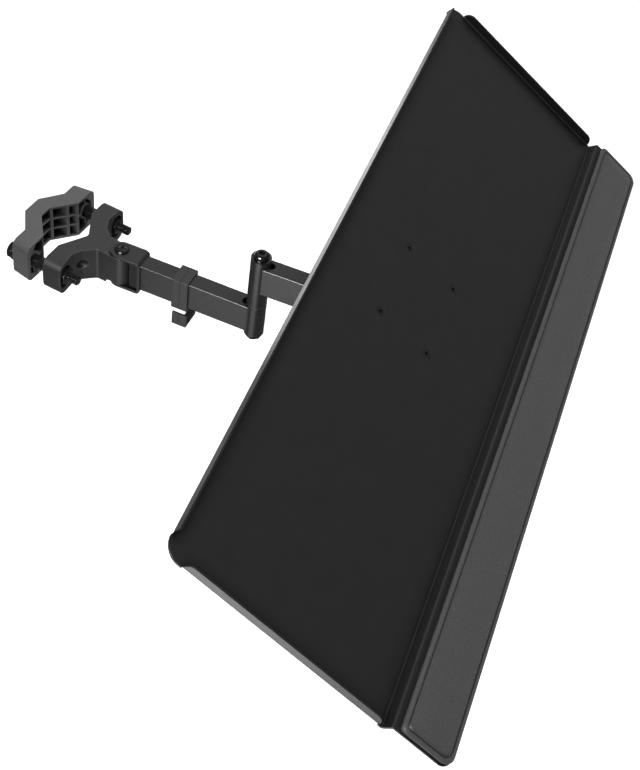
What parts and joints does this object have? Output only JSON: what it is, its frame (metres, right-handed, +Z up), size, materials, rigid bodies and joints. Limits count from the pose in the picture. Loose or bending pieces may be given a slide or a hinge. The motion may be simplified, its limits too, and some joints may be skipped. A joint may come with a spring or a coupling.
{
  "type": "pole-mounted keyboard tray",
  "caption": "Steel keyboard tray with padded wrist rest on a two-part swinging arm that clamps to a pole; it swivels, folds and tilts",
  "frame": {"origin": "on the axis of the pole that the clamp grips, at the height of the clamp bolts", "axes": "+X along the tray's length to the user's right, +Y from the user towards the pole, +Z up along the pole"},
  "size_m": [0.65, 0.4827, 0.1737],
  "materials": {
    "arm_coat": "fine matt black powder coat",
    "tray_coat": "fine textured matt black powder coat",
    "jaw_cast": "cast jaw with a satin black coat",
    "jaw_moulding": "matt dark grey moulding",
    "black_steel": "black zinc-plated steel",
    "clip_moulding": "matt black moulding",
    "nylon": "black nylon",
    "rest_cover": "soft black leatherette over foam",
    "rest_board": "black board"
  },
  "bodies": {
    "clamp": {"front_jaw": "jaw_cast", "clamp_nuts": "black_steel", "swivel_bush": "nylon"},
    "rear_clamp": {"rear_jaw": "jaw_moulding", "clamp_bolts": "black_steel", "clamp_washers": "black_steel", "clamp_sleeves": "black_steel"},
    "inner_arm": {"clevis": "arm_coat", "swivel_screw": "black_steel", "swivel_nut": "black_steel", "swivel_washers": "nylon", "inner_tube": "arm_coat", "lower_barrel": "arm_coat", "lower_bush": "nylon", "elbow_bolt": "black_steel", "elbow_nut": "black_steel", "elbow_washers": "black_steel", "elbow_slip_washer": "nylon"},
    "clip": {"cable_clip": "clip_moulding"},
    "outer_arm": {"outer_tube": "arm_coat", "upper_barrel": "arm_coat", "upper_bush": "nylon", "end_barrel": "arm_coat", "end_bush": "nylon"},
    "tray_swivel": {"tilt_head": "arm_coat", "pivot_screw": "black_steel", "pivot_washer": "black_steel", "pivot_slip_washer": "nylon"},
    "tray": {"tray_bracket": "arm_coat", "tilt_bolt": "black_steel", "tilt_nut": "black_steel", "tilt_washers": "nylon", "tray_screws": "black_steel", "tray_nuts": "black_steel", "tray_pan": "tray_coat", "rest_base": "rest_board", "wrist_pad": "rest_cover"}
  },
  "joints": [
    {"name": "jaw_slide", "type": "slide", "parent": "clamp", "child": "rear_clamp", "axis": [0.165, 0.9863, 0], "range_m": [-0.005, 0.01]},
    {"name": "clamp_swivel", "type": "hinge", "parent": "clamp", "child": "inner_arm", "pos_m": [-0.00957, -0.0572, 0], "axis": [0, 0, 1], "range_deg": [-60, 60]},
    {"name": "clip_slide", "type": "slide", "parent": "inner_arm", "child": "clip", "axis": [0.061, 0.9981, 0], "range_m": [-0.035, 0.025]},
    {"name": "elbow", "type": "hinge", "parent": "inner_arm", "child": "outer_arm", "pos_m": [-0.0172, -0.18197, 0.017], "axis": [0, 0, 1], "range_deg": [-90, 90]},
    {"name": "tray_turn", "type": "hinge", "parent": "outer_arm", "child": "tray_swivel", "pos_m": [-0.02113, -0.30691, 0.048], "axis": [0, 0, 1], "range_deg": [-30, 30]},
    {"name": "tray_tilt", "type": "hinge", "parent": "tray_swivel", "child": "tray", "pos_m": [-0.02113, -0.30691, 0.0725], "axis": [1, 0, 0], "range_deg": [-39.3, 7.7]}
  ]
}
